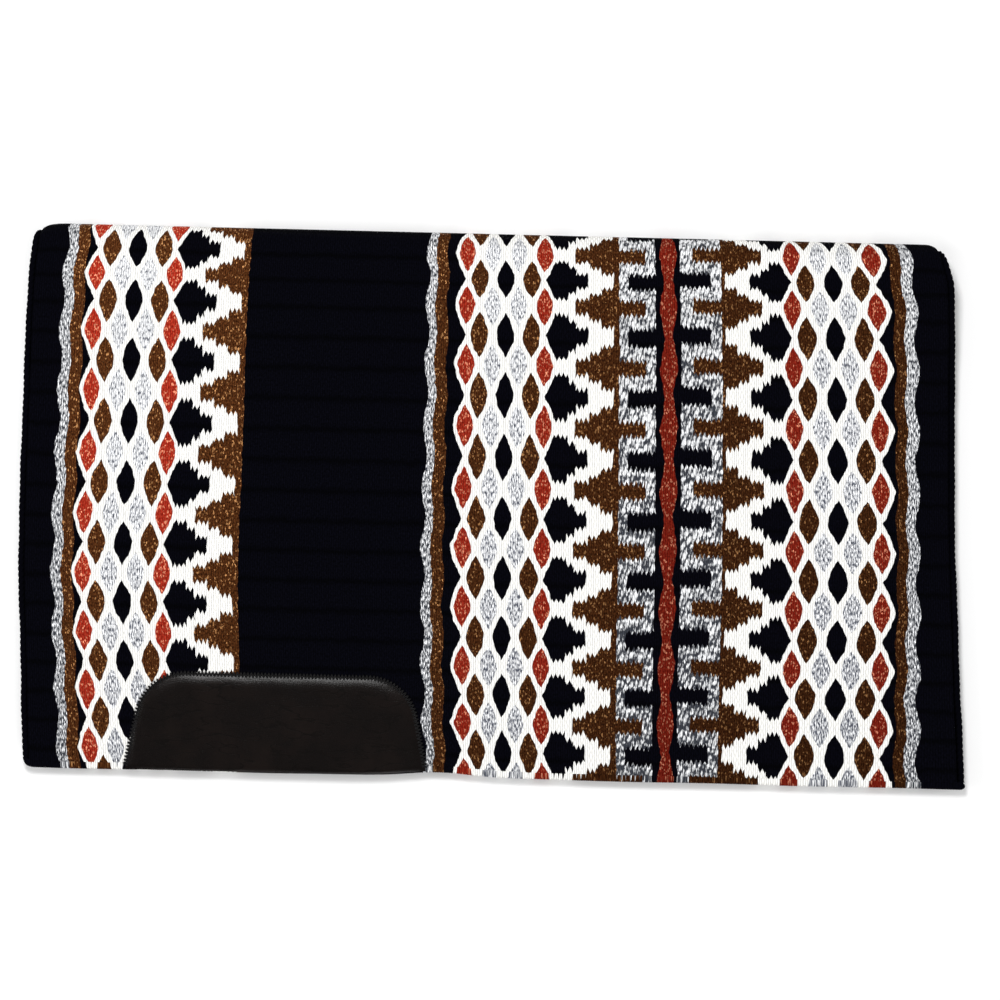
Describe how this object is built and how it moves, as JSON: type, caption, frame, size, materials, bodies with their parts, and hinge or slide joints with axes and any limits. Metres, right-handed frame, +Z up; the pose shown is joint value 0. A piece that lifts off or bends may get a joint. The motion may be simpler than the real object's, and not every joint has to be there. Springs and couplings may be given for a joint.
{
  "type": "saddle pad",
  "caption": "Woven wool saddle pad folded over its spine, in a diamond and stepped pattern, with stitched leather wear patches at the front of each hem.",
  "frame": {"origin": "bottom centre of the folded pad's box, where its far side rests", "axes": "+X to the rear of the horse, +Y from the hems to the spine fold, +Z up through the folded layers, out of the near flap's face"},
  "size_m": [0.864, 0.5, 0.034],
  "materials": {
    "woven_wool": "ribbed wool weaving with white, red, brown and silver thread",
    "leather": "soft dark brown, slightly waxed",
    "needle_thread": "black waxed nylon thread",
    "bobbin_thread": "black waxed nylon thread",
    "edge_cord": "plied black wool cord"
  },
  "bodies": {
    "far_flap": {"far_flap_cloth": "woven_wool", "far_wear_leather": "leather", "far_leather_edge_stitching": "needle_thread", "far_bobbin_thread": "bobbin_thread", "far_hem_cord": "edge_cord", "far_front_edge_cord": "edge_cord", "far_rear_edge_cord": "edge_cord"},
    "spine": {"spine_cloth": "woven_wool", "spine_front_edge_cord": "edge_cord", "spine_rear_edge_cord": "edge_cord"},
    "near_flap": {"near_flap_cloth": "woven_wool", "near_wear_leather": "leather", "near_leather_edge_stitching": "needle_thread", "near_bobbin_thread": "bobbin_thread", "near_hem_cord": "edge_cord", "near_front_edge_cord": "edge_cord", "near_rear_edge_cord": "edge_cord"}
  },
  "joints": [
    {"name": "far_fold", "type": "hinge", "parent": "far_flap", "child": "spine", "pos_m": [0, 0.246, 0.004], "axis": [-1, 0, 0], "range_deg": [0, 90]},
    {"name": "near_fold", "type": "hinge", "parent": "spine", "child": "near_flap", "pos_m": [0, 0.246, 0.03], "axis": [-1, 0, 0], "range_deg": [0, 92]}
  ],
  "couplings": [
    {"joint": "near_fold", "follows": "far_fold", "ratio": 1.02}
  ]
}
